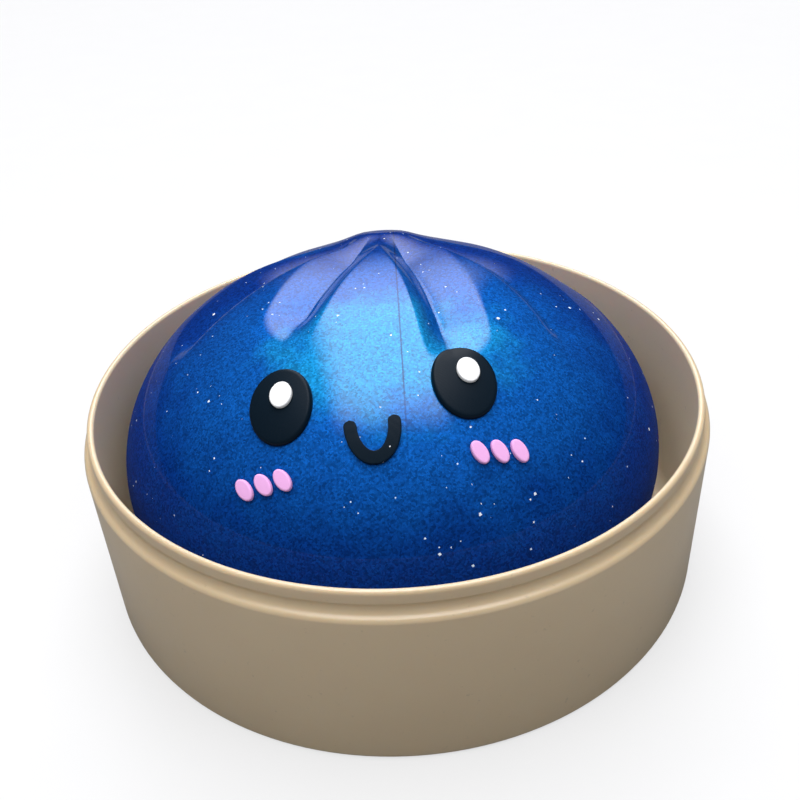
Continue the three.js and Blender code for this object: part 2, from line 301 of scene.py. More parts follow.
class BunForm:
    """The bun's rounded surface: a sagged body whose pleats gather at a leaning knot."""

    def __init__(self, sizes):
        self.sizes = sizes
        self.radius = (SKIN_HIGH.x - SKIN_LOW.x) / 2
        self.centre = Vector((
            (SKIN_LOW.x + SKIN_HIGH.x) / 2,
            (SKIN_LOW.y + SKIN_HIGH.y) / 2,
            SKIN_LOW.z + sizes.girth_height,
        ))
        self.lean = Matrix.Rotation(-sizes.knot_tilt, 3, "X")
        self.unlean = self.lean.transposed()

    def scale(self, growth=0.0, height=None):
        height = self.sizes.crown_height if height is None else height
        return Vector((self.radius + growth, self.radius + growth, height + growth))

    def fold(self, direction):
        """How deep the folds sink, in metres, and how much painted shade their steep sides get."""
        from_knot = math.degrees(math.acos(max(-1.0, min(1.0, direction.z))))
        around = math.degrees(math.atan2(direction.x, -direction.y))
        starts = smooth_step(
            math.radians(from_knot), self.sizes.pleat_start, self.sizes.pleat_peak
        )
        narrows = math.sin(math.radians(FULL_WIDTH_AT)) / math.sin(
            math.radians(max(NARROWS_FROM, from_knot))
        )
        deepest = 0.0
        shaded = 0.0
        for pleat in PLEATS:
            fades_from = pleat.dies_at - FADE_RUN
            dies = starts * (1.0 - smooth_step(from_knot, fades_from, pleat.dies_at))
            if dies == 0.0:
                continue
            groove = pleat.groove + pleat.drift * (from_knot - FULL_WIDTH_AT)
            aside = (around - groove + 180) % 360 - 180
            aside *= math.copysign(1.0, pleat.steep)
            if aside > 0:
                out = min(1.0, aside / abs(pleat.steep * narrows))
                shaded = max(shaded, dies * (1.0 - out ** 2))
                power = STEEP_POWER
            else:
                out = min(1.0, -aside / (pleat.gentle * narrows))
                shaded = max(shaded, dies * (1.0 - min(1.0, -aside)))
                power = GENTLE_POWER
            deepest = max(deepest, pleat.depth_mm * MM * dies * (1.0 - out) ** power)
        return deepest, shaded

    def relief(self, direction):
        """Height of the knot and the pleats over the smooth body, in the knot's directions."""
        sizes = self.sizes
        from_knot = math.acos(max(-1.0, min(1.0, direction.z)))
        knot = sizes.knot_height * math.exp(-((from_knot / sizes.knot_spread) ** 3))
        dimple = sizes.knot_dimple * math.exp(-((from_knot / sizes.knot_spread * 3.2) ** 2))
        return knot - dimple - self.fold(direction)[0]

    def shell_point(self, knot_direction, offset, relief_share):
        """The point of the body in a direction from the knot's axis, offset outwards."""
        relief = relief_share * self.relief(knot_direction)
        direction = self.lean @ knot_direction
        height = self.sizes.crown_height if direction.z > 0 else self.sizes.belly_depth
        scale = self.scale(offset + relief, height)
        return Vector(a * b for a, b in zip(direction, scale))

    def crown_normal(self, point):
        scale = self.scale()
        return Vector(p / s / s for p, s in zip(point, scale)).normalized()

    def ray_out(self, start, along, scale):
        """Where a ray leaves the smooth body of a scale."""
        unit_start = Vector(p / s for p, s in zip(start, scale))
        unit_step = Vector(p / s for p, s in zip(along, scale))
        a = unit_step.dot(unit_step)
        b = unit_start.dot(unit_step)
        c = unit_start.dot(unit_start) - 1.0
        return start + along * ((-b + math.sqrt(max(0.0, b * b - a * c))) / a)

    def ray_to_crown(self, start, along, lift):
        """Where a ray meets the pleated crown, lifted by a distance."""
        growth = lift
        for _ in range(4):
            scale = self.scale(growth)
            hit = self.ray_out(start, along, scale)
            direction = Vector(p / s for p, s in zip(hit, scale)).normalized()
            growth = lift + self.relief(self.unlean @ direction)
        return hit


def shape_shell(form, offset, relief_share, segments, rings, seat_level, hole):
    """An open shell of the body above its seat, with a rounded seat edge and a round hole."""
    sizes = form.sizes
    bm = bmesh.new()
    bmesh.ops.create_uvsphere(bm, u_segments=segments, v_segments=rings, radius=1.0)
    # The fold layer holds the painted shade on the folds' steep sides.
    shade = bm.verts.layers.float.new("fold")
    for vert in bm.verts:
        direction = vert.co.normalized()
        vert[shade] = form.fold(direction)[1]
        vert.co = form.shell_point(direction, offset, relief_share)
    rounding = sizes.seat_round + offset * 0.5
    cut_level = seat_level + rounding
    bmesh.ops.bisect_plane(
        bm,
        geom=bm.verts[:] + bm.edges[:] + bm.faces[:],
        dist=1e-7,
        plane_co=(0, 0, cut_level),
        plane_no=(0, 0, -1),
        clear_outer=True,
    )
    bmesh.ops.remove_doubles(bm, verts=bm.verts[:], dist=0.02 * MM)
    loop = [edge for edge in bm.edges if edge.is_boundary]
    cut_radius = max(vert.co.xy.length for edge in loop for vert in edge.verts)
    steps = 5
    for step in range(1, steps + 1):
        turn = math.radians(90) * step / steps
        radius = cut_radius - rounding * (1 - math.cos(turn)) * 1.4
        level = cut_level - rounding * math.sin(turn)
        loop = drop_ring(bm, loop, radius, level)
    for radius in (cut_radius * 0.6, cut_radius * 0.3, hole):
        loop = drop_ring(bm, loop, radius, seat_level)
    return bm, loop


def drop_ring(bm, loop, radius, level):
    """Extrudes an edge loop to a circle of that radius and level, and returns the new loop."""
    made = bmesh.ops.extrude_edge_only(bm, edges=loop)["geom"]
    for vert in (part for part in made if isinstance(part, bmesh.types.BMVert)):
        outward = vert.co.xy.normalized() * radius
        vert.co = Vector((outward.x, outward.y, level))
    return [part for part in made if isinstance(part, bmesh.types.BMEdge)]


# ---- Mesh helpers


def finish_piece(bm, name, material, smooth_angle=None, place=None):
    """Makes an object of a bmesh, its place kept in its mesh, and closes its normals."""
    if place is not None:
        bmesh.ops.translate(bm, verts=bm.verts[:], vec=place)
    bmesh.ops.recalc_face_normals(bm, faces=bm.faces[:])
    mesh = bpy.data.meshes.new(name)
    bm.to_mesh(mesh)
    bm.free()
    mesh.shade_smooth()
    if smooth_angle is not None:
        mesh.set_sharp_from_angle(angle=math.radians(smooth_angle))
    mesh.materials.append(material)
    piece = bpy.data.objects.new(name, mesh)
    bpy.context.scene.collection.objects.link(piece)
    return piece


def only(parts, kind):
    return [part for part in parts if isinstance(part, kind)]


def round_outline(bm, corner_rounds):
    """Rounds the corners of a flat profile face, given (vertex, radius) pairs."""
    for vert, radius in corner_rounds:
        bmesh.ops.bevel(
            bm,
            geom=[vert],
            offset=radius,
            offset_type="OFFSET",
            segments=6,
            profile=0.5,
            affect="VERTICES",
            clamp_overlap=True,
            material=-1,
        )


# ---- Material helpers


def rgba(tone):
    """An opaque colour."""
    return (*tone, 1.0)


class Nodes:
    """Short ways to add nodes to a tree. An input is a plain value or another node's output."""

    def __init__(self, tree):
        self.tree = tree

    def join(self, value, socket):
        if isinstance(value, bpy.types.NodeSocket):
            self.tree.links.new(value, socket)
        else:
            socket.default_value = value

    def add(self, kind, inputs=(), **settings):
        """A new node with its own settings and its inputs, by name or position."""
        node = self.tree.nodes.new(kind)
        for name, value in settings.items():
            setattr(node, name, value)
        for key, value in dict(inputs).items():
            self.join(value, node.inputs[key])
        return node

    def maths(self, operation, *values):
        return self.add("ShaderNodeMath", enumerate(values), operation=operation).outputs[0]

    def vector(self, operation, *values):
        node = self.add("ShaderNodeVectorMath", enumerate(values), operation=operation)
        return node.outputs["Value" if operation == "LENGTH" else "Vector"]

    def span(self, value, low, high, start, end, **settings):
        """The value's run from low to high, turned into start to end."""
        inputs = {0: value, 1: low, 2: high, 3: start, 4: end}
        return self.add("ShaderNodeMapRange", inputs, **settings).outputs[0]

    def eased(self, value, start, end):
        """An eased 0 to 1 as the value goes from start to end."""
        return self.span(value, start, end, 0.0, 1.0, interpolation_type="SMOOTHSTEP")

    def mix(self, factor, first, second, blend_type="MIX"):
        inputs = {0: factor, 6: first, 7: second}
        node = self.add("ShaderNodeMix", inputs, data_type="RGBA", blend_type=blend_type)
        return node.outputs[2]

    def place(self, kind="Object"):
        return self.add("ShaderNodeTexCoord").outputs[kind]

    def noise(self, scale, detail, roughness=0.5):
        inputs = {
            "Vector": self.place(), "Scale": scale, "Detail": detail, "Roughness": roughness
        }
        return self.add("ShaderNodeTexNoise", inputs).outputs["Fac"]

    def cells(self, vector, scale, distance="EUCLIDEAN"):
        """Cells of a Voronoi pattern: how far off the nearest one is, and its three own values."""
        inputs = {"Vector": vector, "Scale": scale}
        node = self.add("ShaderNodeTexVoronoi", inputs, feature="F1", distance=distance)
        own = self.add("ShaderNodeSeparateColor", {0: node.outputs["Color"]})
        return node.outputs["Distance"], own.outputs

    def bump(self, height, strength, distance):
        inputs = {"Height": height, "Strength": strength, "Distance": distance}
        return self.add("ShaderNodeBump", inputs).outputs[0]

    def group(self, name, maker, inputs=()):
        """The outputs of a shared group, which is made the first time it is asked for."""
        tree = bpy.data.node_groups.get(name) or maker(name)
        return self.add("ShaderNodeGroup", inputs, node_tree=tree).outputs


class Finish(Nodes):
    """A new material with its nodes."""

    def __init__(self, name):
        self.material = bpy.data.materials.new(name)
        self.material.use_nodes = True
        super().__init__(self.material.node_tree)
        self.shader = self.tree.nodes["Principled BSDF"]

    def shade(self, **inputs):
        """Gives the shader's inputs, and returns the finished material."""
        for name, value in inputs.items():
            self.join(value, self.shader.inputs[name.replace("_", " ")])
        return self.material


def new_group(name, inputs, outputs):
    """The nodes of an empty group with number sockets, and its inputs as the group sees them."""
    tree = bpy.data.node_groups.new(name, "ShaderNodeTree")
    kind = "NodeSocketFloat"
    for title, default in inputs.items():
        socket = tree.interface.new_socket(name=title, in_out="INPUT", socket_type=kind)
        socket.default_value = default
    for title in outputs:
        tree.interface.new_socket(name=title, in_out="OUTPUT", socket_type=kind)
    nodes = Nodes(tree)
    return nodes, nodes.add("NodeGroupInput").outputs


def pearl_grain(name):
    """Crinkled pearl: a value about 1 that varies cell by cell, its height, and soft clouds."""
    inputs = {"Cell Scale": 3600.0, "Contrast": 0.42, "Cloud Scale": 160.0}
    nodes, entry = new_group(name, inputs, ("Value", "Height", "Cloud"))
    own = nodes.cells(nodes.place(), entry["Cell Scale"])[1]
    crinkle = nodes.noise(entry["Cell Scale"], 2.0, 0.7)
    height = nodes.maths("MULTIPLY", own[0], crinkle)
    spread = nodes.span(height, 0.0, 0.6, -1.0, 1.0)
    value = nodes.maths("MULTIPLY_ADD", spread, entry["Contrast"], 1.0)
    cloud = nodes.noise(entry["Cloud Scale"], 3.0, 0.55)
    nodes.add("NodeGroupOutput", {"Value": value, "Height": height, "Cloud": cloud})
    return nodes.tree


def scattered_flakes(name):
    """Scattered angular flakes: a mask, and a tint for each flake."""
    inputs = {"Flake Scale": 420.0, "Size": 0.11, "Share": 0.6}
    nodes, entry = new_group(name, inputs, ("Mask", "Tint"))
    turn = {"Vector": nodes.place(), "Rotation": (0.7, 0.5, 0.3)}
    turned = nodes.add("ShaderNodeMapping", turn).outputs[0]
    off, own = nodes.cells(turned, entry["Flake Scale"], "CHEBYCHEV")
    inside = nodes.maths("LESS_THAN", off, nodes.maths("MULTIPLY", entry["Size"], own[1]))
    chosen = nodes.maths("LESS_THAN", own[0], entry["Share"])
    mask = nodes.maths("MULTIPLY", inside, chosen)
    nodes.add("NodeGroupOutput", {"Mask": mask, "Tint": own[2]})
    return nodes.tree


def moulded_surface(name):
    """A moulded surface: a few fine specks, a soft unevenness and a fine texture."""
    inputs = {"Speck Scale": 900.0, "Speck Share": 0.35}
    nodes, entry = new_group(name, inputs, ("Speck", "Uneven", "Height"))
    specks = nodes.span(nodes.noise(entry["Speck Scale"], 2.0, 0.6), 0.68, 0.76, 0.0, 1.0)
    speck = nodes.maths("MULTIPLY", specks, entry["Speck Share"])
    uneven = nodes.noise(45.0, 3.0)
    fine = nodes.noise(700.0, 1.0)
    nodes.add("NodeGroupOutput", {"Speck": speck, "Uneven": uneven, "Height": fine})
    return nodes.tree


# ---- Finishes


def basket_plastic(sizes):
    """Cream plastic with a paler inside painted as light, a few specks and a soft unevenness."""
    finish = Finish("basket_plastic")
    marks = finish.group("Moulded surface", moulded_surface)
    hollow = TUB_HIGH.x - sizes.spigot_step - sizes.rim_thickness
    from_axis = finish.vector("LENGTH", finish.vector("MULTIPLY", finish.place(), (1, 1, 0)))
    # Painted light: the hollow's wall and floor are painted the paler colour.
    inside = finish.span(from_axis, hollow + 0.1 * MM, hollow + 0.6 * MM, 1.0, 0.0)
    tone = finish.mix(inside, rgba(sizes.plastic), rgba(sizes.satin))
    uneven = finish.mix(marks["Uneven"], tone, rgba((0.90, 0.88, 0.86)), "MULTIPLY")
    specked = finish.mix(marks["Speck"], uneven, rgba((0.42, 0.33, 0.22)))
    return finish.shade(
        Base_Color=specked,
        Roughness=finish.span(marks["Uneven"], 0.0, 1.0, 0.27, 0.37),
        Normal=finish.bump(marks["Height"], 0.12, 0.1 * MM),
        IOR=1.5,
        Specular_IOR_Level=1.0,
        Subsurface_Weight=0.6,
        Subsurface_Radius=(1.0, 0.75, 0.5),
        Subsurface_Scale=0.8 * MM,
    )


def pearl_with_painted_light(finish, sizes, form, cloud):
    """Pearl colour with painted light: a painted glow on the face, painted shade on sides and
    folds.
    """
    # Painted glow: a pale pool of light painted on the face that falls off to painted shade.
    from_glow = finish.vector("SUBTRACT", finish.place(), form.centre + PAINTED_GLOW_PLACE)
    off = finish.vector("LENGTH", finish.vector("MULTIPLY", from_glow, PAINTED_GLOW_SHAPE))
    drift = finish.maths("MULTIPLY_ADD", cloud, -2 * PAINTED_GLOW_DRIFT, PAINTED_GLOW_DRIFT)
    reach = finish.maths("DIVIDE", finish.maths("ADD", off, drift), PAINTED_GLOW_REACH)
    body = finish.add("ShaderNodeValToRGB", {0: reach})
    ramp = body.color_ramp
    ramp.interpolation = "EASE"
    ramp.elements[0].color = rgba(sizes.glow)
    ramp.elements[1].color = rgba(sizes.navy)
    for stop, tone in ((0.19, sizes.glow), (0.42, sizes.azure), (0.95, sizes.navy)):
        ramp.elements.new(stop).color = rgba(tone)
    # Painted shade: the folds' steep sides are painted a darker azure where shade falls in the
    # creases.
    folds = finish.add("ShaderNodeAttribute", attribute_name="fold").outputs["Fac"]
    return finish.mix(folds, body.outputs[0], rgba(0.75 * c for c in sizes.azure))


def mould_line(finish, middle, axes):
    """Where a faint mould line shows: a thin upright plane that fades down the face."""
    off = finish.maths("ABSOLUTE", finish.maths("SUBTRACT", axes[0], middle))
    line = finish.span(off, 0.06 * MM, 0.16 * MM, 1.0, 0.0)
    fade = finish.span(axes[2], 40 * MM, 47 * MM, 0.0, 0.75)
    return finish.maths("MULTIPLY", line, fade)


def pearl_skin(sizes, form):
    """Clear gloss over a deep blue pearl, with scattered flakes and a faint mould line."""
    finish = Finish("pearl_skin")
    axes = finish.add("ShaderNodeSeparateXYZ", {0: finish.place()}).outputs
    grain = finish.group("Pearl grain", pearl_grain)
    large = finish.group("Scattered flakes", scattered_flakes, {"Size": 0.09, "Share": 0.3})
    fine = {"Flake Scale": 800.0, "Size": 0.10, "Share": 0.3}
    small = finish.group("Scattered flakes", scattered_flakes, fine)
    flakes = finish.maths("MAXIMUM", large["Mask"], small["Mask"])
    pearl = pearl_with_painted_light(finish, sizes, form, grain["Cloud"])
    grained = finish.mix(1.0, pearl, grain["Value"], "MULTIPLY")
    seam = mould_line(finish, form.centre.x + sizes.seam_shift, axes)
    lined = finish.mix(seam, grained, rgba((0.004, 0.02, 0.10)))
    tint = finish.mix(large["Tint"], rgba(sizes.flake), rgba((0.62, 0.80, 1.0)))
    return finish.shade(
        Base_Color=finish.mix(flakes, lined, tint),
        Metallic=finish.span(flakes, 0.0, 1.0, 0.3, 0.0),
        Roughness=finish.span(grain["Cloud"], 0.3, 0.7, 0.40, 0.50),
        Normal=finish.bump(grain["Height"], 0.35, 0.06 * MM),
        Specular_IOR_Level=0.0,
        Specular_Tint=rgba((0.1, 0.35, 1.0)),
        Coat_Weight=finish.span(axes[2], 34 * MM, 47 * MM, 0.12, 0.7),
        Coat_Roughness=0.04,
        Coat_IOR=1.5,
    )


def soft_gel(sizes):
    """The azure of the skin, with its grain."""
    finish = Finish("blue_gel")
    grain = finish.group("Pearl grain", pearl_grain, {"Contrast": 0.3})
    body = finish.mix(1.0, rgba(sizes.azure), grain["Value"], "MULTIPLY")
    return finish.shade(Base_Color=body, Roughness=0.30)


def plug_elastomer(sizes):
    """Uneven deep blue rubber."""
    finish = Finish("plug_elastomer")
    marks = finish.group("Moulded surface", moulded_surface)
    lighter = rgba(0.6 * c for c in sizes.azure)
    body = finish.mix(marks["Uneven"], rgba(sizes.navy), lighter)
    return finish.shade(Base_Color=body, Roughness=0.35)


def pad_finish(name, base, tone_share, roughness, ridges, ridge_strength, flake_share=0.0):
    """Printed soft plastic of a colour and a share of it, with fine ridges and a few flakes."""
    finish = Finish(name)
    marks = finish.group("Moulded surface", moulded_surface, {"Speck Scale": 1800.0})
    tilt = {"Vector": finish.place(), "Rotation": (0.9, 0.12, 0.1)}
    wave = {
        "Vector": finish.add("ShaderNodeMapping", tilt).outputs[0],
        "Scale": ridges, "Distortion": 2.5, "Detail": 2.0, "Detail Scale": 1.5,
    }
    lines = finish.add("ShaderNodeTexWave", wave, wave_type="BANDS", bands_direction="Y")
    body = finish.mix(marks["Uneven"], rgba(base), rgba(tone_share * c for c in base))
    fine = {"Flake Scale": 800.0, "Share": flake_share}
    flakes = finish.group("Scattered flakes", scattered_flakes, fine)
    return finish.shade(
        Base_Color=finish.mix(flakes["Mask"], body, rgba((0.8, 0.8, 0.85))),
        Roughness=roughness,
        Normal=finish.bump(lines.outputs["Fac"], ridge_strength, 0.08 * MM),
        Specular_IOR_Level=0.1,
    )


# ---- Pieces


class SQUEEZEBUN_OT_basket(bpy.types.Operator):
    """Turn the basket's profile about its axis: foot, wall, shoulder, spigot, rim and hollow"""

    bl_idname = "squeeze_bun.basket"
    bl_label = "Basket"

    def execute(self, context):
        sizes = context.scene.basket_sizes
        shoulder = TUB_HIGH.x
        rim = TUB_HIGH.z
        spigot = shoulder - sizes.spigot_step
        hollow = spigot - sizes.rim_thickness
        floor = sizes.floor_thickness
        rim_round = sizes.rim_thickness * 0.49
        corners = (
            (0.0, 0.0, 0.0),
            (shoulder - sizes.wall_draft, 0.0, sizes.foot_fillet),
            (shoulder, rim - sizes.shoulder_drop, sizes.shoulder_edge),
            (spigot - sizes.lip_step, rim - sizes.cove_drop, sizes.cove),
            (spigot - sizes.lip_step, rim - sizes.spigot_height - sizes.lip_step, 0.0),
            (spigot, rim - sizes.spigot_height, 0.08 * MM),
            (spigot, rim, rim_round),
            (hollow, rim, rim_round),
            (hollow - sizes.inner_draft, floor, sizes.inner_fillet),
            (0.0, floor, 0.0),
        )
        bm = bmesh.new()
        verts = [bm.verts.new((x, 0.0, z)) for x, z, _ in corners]
        face = bm.faces.new(verts)
        round_outline(bm, [(v, c[2]) for v, c in zip(verts, corners) if c[2] > 0])
        bmesh.ops.delete(bm, geom=bm.faces[:], context="FACES_ONLY")
        axis_edges = [e for e in bm.edges if all(v.co.x < 1e-9 for v in e.verts)]
        bmesh.ops.delete(bm, geom=axis_edges, context="EDGES")
        bmesh.ops.spin(
            bm,
            geom=bm.verts[:] + bm.edges[:],
            cent=(0, 0, 0),
            axis=(0, 0, 1),
            angle=2 * math.pi,
            steps=sizes.segments,
            use_merge=True,
            use_duplicate=False,
        )
        bmesh.ops.remove_doubles(bm, verts=bm.verts[:], dist=1e-6)
        piece = finish_piece(bm, "steamer_basket", basket_plastic(sizes), smooth_angle=50)
        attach(piece, "basket")
        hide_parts("basket_tub")
        return {"FINISHED"}


class SQUEEZEBUN_OT_skin(bpy.types.Operator):
    """Gather the bun's elastomer skin into pleats, with a hollow inside and a filling port"""

    bl_idname = "squeeze_bun.skin"
    bl_label = "Bun skin"

    def execute(self, context):
        sizes = context.scene.bun_sizes
        form = BunForm(sizes)
        seat = -sizes.girth_height
        bm, _ = shape_shell(
            form, 0.0, 1.0, sizes.segments, sizes.rings, seat, sizes.port_radius
        )
        inner, _ = shape_shell(
            form, -sizes.skin_wall, sizes.inner_relief, *INSIDE_STEPS, seat + sizes.skin_wall,
            sizes.port_radius,
        )
        spare = bpy.data.meshes.new("inner_wall")
        inner.to_mesh(spare)
        inner.free()
        bm.from_mesh(spare)
        bpy.data.meshes.remove(spare)
        bmesh.ops.bridge_loops(bm, edges=[edge for edge in bm.edges if edge.is_boundary])
        piece = finish_piece(bm, "bun_pearl_skin", pearl_skin(sizes, form), place=form.centre)
        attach(piece, "bun")
        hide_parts("bun_skin")
        squeeze_with_bun(piece)
        return {"FINISHED"}


class SQUEEZEBUN_OT_gel(bpy.types.Operator):
    """Fill the skin with its gel body"""

    bl_idname = "squeeze_bun.gel"
    bl_label = "Gel filling"

    def execute(self, context):
        sizes = context.scene.bun_sizes
        form = BunForm(sizes)
        inset = sizes.skin_wall + sizes.gel_gap
        level = inset - sizes.girth_height
        bm, loop = shape_shell(
            form, -inset, sizes.inner_relief, *INSIDE_STEPS, level, sizes.port_radius - MM
        )
        bmesh.ops.contextual_create(bm, geom=loop)
        piece = finish_piece(bm, "gel_body", soft_gel(sizes), place=form.centre)
        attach(piece, "bun")
        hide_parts("gel_filling")
        squeeze_with_bun(piece)
        return {"FINISHED"}


class SQUEEZEBUN_OT_plug(bpy.types.Operator):
    """Close the filling port with a bonded plug"""

    bl_idname = "squeeze_bun.plug"
    bl_label = "Port plug"

    def execute(self, context):
        sizes = context.scene.bun_sizes
        low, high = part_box("fill_plug")
        bm = bmesh.new()
        bmesh.ops.create_cone(
            bm,
            cap_ends=True,
            segments=64,
            radius1=(high.x - low.x) / 2,
            radius2=(high.x - low.x) / 2,
            depth=high.z - low.z,
        )
        rims = [e for e in bm.edges if abs(e.verts[0].co.z - e.verts[1].co.z) < 1e-9]
        bmesh.ops.bevel(
            bm, geom=rims, offset=0.25 * MM, offset_type="OFFSET", segments=4, profile=0.5,
            affect="EDGES", clamp_overlap=True, material=-1,
        )
        caps = [face for face in bm.faces if len(face.verts) > 8]
        bmesh.ops.inset_individual(bm, faces=caps, thickness=0.8 * MM, depth=-0.2 * MM)
        piece = finish_piece(
            bm, "port_plug", plug_elastomer(sizes), smooth_angle=40, place=(low + high) / 2
        )
        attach(piece, "bun")
        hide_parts("fill_plug")
        return {"FINISHED"}


def squeeze_with_bun(piece):
    """Gives the piece its own copy of its mesh."""
    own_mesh(piece)


def thin_with_bun(piece):
    """Gives the pad its own copy of its mesh."""
    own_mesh(piece)


class FacePlan:
    """The face's flat layout, laid on the pleated crown."""

    def __init__(self, form, sizes):
        self.form = form
        scale = form.scale()
        level = math.cos(sizes.elevation)
        direction = Vector((
            level * math.cos(sizes.azimuth),
            level * math.sin(sizes.azimuth),
            math.sin(sizes.elevation),
        ))
        self.middle = Vector(a * b for a, b in zip(direction, scale))
        self.outward = form.crown_normal(self.middle)
        right = Vector((0, 0, 1)).cross(self.outward).normalized()
        self.right = Matrix.Rotation(sizes.roll, 3, self.outward) @ right
        self.up = self.outward.cross(self.right)

    def placement(self, across, rise):
        """A frame on the smooth crown under a place of the layout."""
        start = self.middle + self.right * across + self.up * rise
        point = self.form.ray_out(start, self.outward, self.form.scale())
        outward = self.form.crown_normal(point)
        up = (self.up - outward * self.up.dot(outward)).normalized()
        return point, up.cross(outward), up, outward

    def lay(self, bm, across, rise, lift):
        """Bends a flat pad on to the crown: x and y are its layout, z its height off the crown."""
        point, right, up, outward = self.placement(across, rise)
        for vert in bm.verts:
            start = point + right * vert.co.x + up * vert.co.y
            vert.co = self.form.ray_to_crown(start, outward, lift + vert.co.z)


def thicken(bm, thickness, rounding, dome=0.0):
    """Gives a flat sheet at z = 0 a thickness, a rounded top edge and a slight dome."""
    reach = max(vert.co.length for vert in bm.verts)
    bmesh.ops.recalc_face_normals(bm, faces=bm.faces[:])
    bottom = bm.faces[:]
    made = bmesh.ops.extrude_face_region(bm, geom=bottom, use_keep_orig=True)["geom"]
    for vert in only(made, bmesh.types.BMVert):
        vert.co.z = thickness
    bmesh.ops.recalc_face_normals(bm, faces=bm.faces[:])
    top_edges = [
        edge
        for edge in bm.edges
        if all(vert.co.z > thickness / 2 for vert in edge.verts)
        and any(abs(face.normal.z) < 0.5 for face in edge.link_faces)
    ]
    bmesh.ops.bevel(
        bm, geom=top_edges, offset=rounding, offset_type="OFFSET", segments=5, profile=0.5,
        affect="EDGES", clamp_overlap=True, material=-1,
    )
    for vert in bm.verts:
        if vert.co.z > thickness / 2:
            vert.co.z += dome * max(0.0, 1.0 - (vert.co.xy.length / reach) ** 2)


def oval_sheet(half_width, half_height, slant, segments, rings):
    """A flat oval with rings of faces to bend by."""
    bm = bmesh.new()
    bmesh.ops.create_circle(bm, cap_ends=True, radius=1.0, segments=segments)
    for _ in range(rings - 1):
        middle = max(bm.faces, key=lambda face: len(face.verts))
        bmesh.ops.inset_individual(bm, faces=[middle], thickness=1.0 / rings)
    middle = max(bm.faces, key=lambda face: len(face.verts))
    bmesh.ops.poke(bm, faces=[middle])
    bmesh.ops.scale(bm, verts=bm.verts[:], vec=(half_width, half_height, 1.0))
    bmesh.ops.rotate(bm, verts=bm.verts[:], cent=(0, 0, 0), matrix=Matrix.Rotation(slant, 3, "Z"))
    return bm


def mouth_sheet(sizes):
    """A flat strip bent into a U, its ends rounded."""
    half = sizes.mouth_stroke / 2
    bm = bmesh.new()
    bmesh.ops.create_grid(bm, x_segments=72, y_segments=6, size=1.0)
    run = sizes.mouth_half_width + sizes.mouth_depth
    cap = half / (run * 1.25)
    for vert in bm.verts:
        along, side = vert.co.x, vert.co.y
        inside = min(1.0, (1.0 - abs(along)) / cap)
        width = math.sqrt(max(0.0, 1.0 - (1.0 - inside) ** 2))
        beyond = (1.0 - inside) * half
        stretch = max(-1.0, min(1.0, along / (1.0 - cap)))
        turn = 1.5 * math.pi + stretch * math.pi / 2
        x = sizes.mouth_half_width * math.cos(turn)
        y = sizes.mouth_depth * math.sin(turn)
        normal = Vector((
            math.cos(turn) / sizes.mouth_half_width,
            math.sin(turn) / sizes.mouth_depth,
        )).normalized()
        vert.co = Vector((
            x + normal.x * half * side * width,
            y + normal.y * half * side * width + beyond,
            0.0,
        ))
    bmesh.ops.remove_doubles(bm, verts=bm.verts[:], dist=0.01 * MM)
    return bm


def add_pad(bm, name, node, body, material):
    piece = finish_piece(bm, name, material, smooth_angle=60)
    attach(piece, body)
    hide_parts(node)
    thin_with_bun(piece)


class SQUEEZEBUN_OT_eyes(bpy.types.Operator):
    """Bond the two black eyes and their white highlights on to the bun"""

    bl_idname = "squeeze_bun.eyes"
    bl_label = "Eyes"

    def execute(self, context):
        sizes = context.scene.face_sizes
        form = BunForm(context.scene.bun_sizes)
        plan = FacePlan(form, sizes)
        black = pad_finish("eye_black", sizes.black, 2.0, 0.36, 2600.0, 0.10)
        white = pad_finish("eye_white", sizes.white, 0.96, 0.35, 500.0, 0.05)
        for side, side_name, body in ((-1, "left", "left_eye"), (1, "right", "right_eye")):
            across = side * sizes.eye_spread
            bm = oval_sheet(sizes.eye_half_width, sizes.eye_half_height, 0.0, 96, 8)
            thicken(bm, sizes.eye_thickness, sizes.eye_round, sizes.eye_dome)
            plan.lay(bm, across, sizes.eye_rise, sizes.bond_lift)
            bmesh.ops.translate(bm, verts=bm.verts[:], vec=form.centre)
            add_pad(bm, f"eye_pad_{side_name}", f"eye_{side_name}", body, black)
            bm = oval_sheet(sizes.shine_half_width, sizes.shine_half_height, 0.0, 64, 5)
            thicken(bm, sizes.shine_thickness, sizes.shine_round, sizes.shine_dome)
            lift = 2 * sizes.bond_lift + sizes.eye_thickness + sizes.eye_dome
            plan.lay(bm, across + sizes.shine_shift_x, sizes.eye_rise + sizes.shine_shift_y, lift)
            bmesh.ops.translate(bm, verts=bm.verts[:], vec=form.centre)
            node = f"eye_highlight_{side_name}"
            add_pad(bm, f"highlight_pad_{side_name}", node, body, white)
        return {"FINISHED"}


class SQUEEZEBUN_OT_mouth(bpy.types.Operator):
    """Bond the smiling mouth on to the bun"""

    bl_idname = "squeeze_bun.mouth"
    bl_label = "Mouth"

    def execute(self, context):
        sizes = context.scene.face_sizes
        form = BunForm(context.scene.bun_sizes)
        plan = FacePlan(form, sizes)
        black = pad_finish("mouth_black", sizes.black, 2.2, 0.34, 2200.0, 0.10, 0.5)
        bm = mouth_sheet(sizes)
        thicken(bm, sizes.mouth_thickness, sizes.mouth_round)
        plan.lay(bm, sizes.mouth_shift, sizes.mouth_top, sizes.bond_lift)
        bmesh.ops.translate(bm, verts=bm.verts[:], vec=form.centre)
        add_pad(bm, "mouth_pad", "mouth", "smile", black)
        return {"FINISHED"}


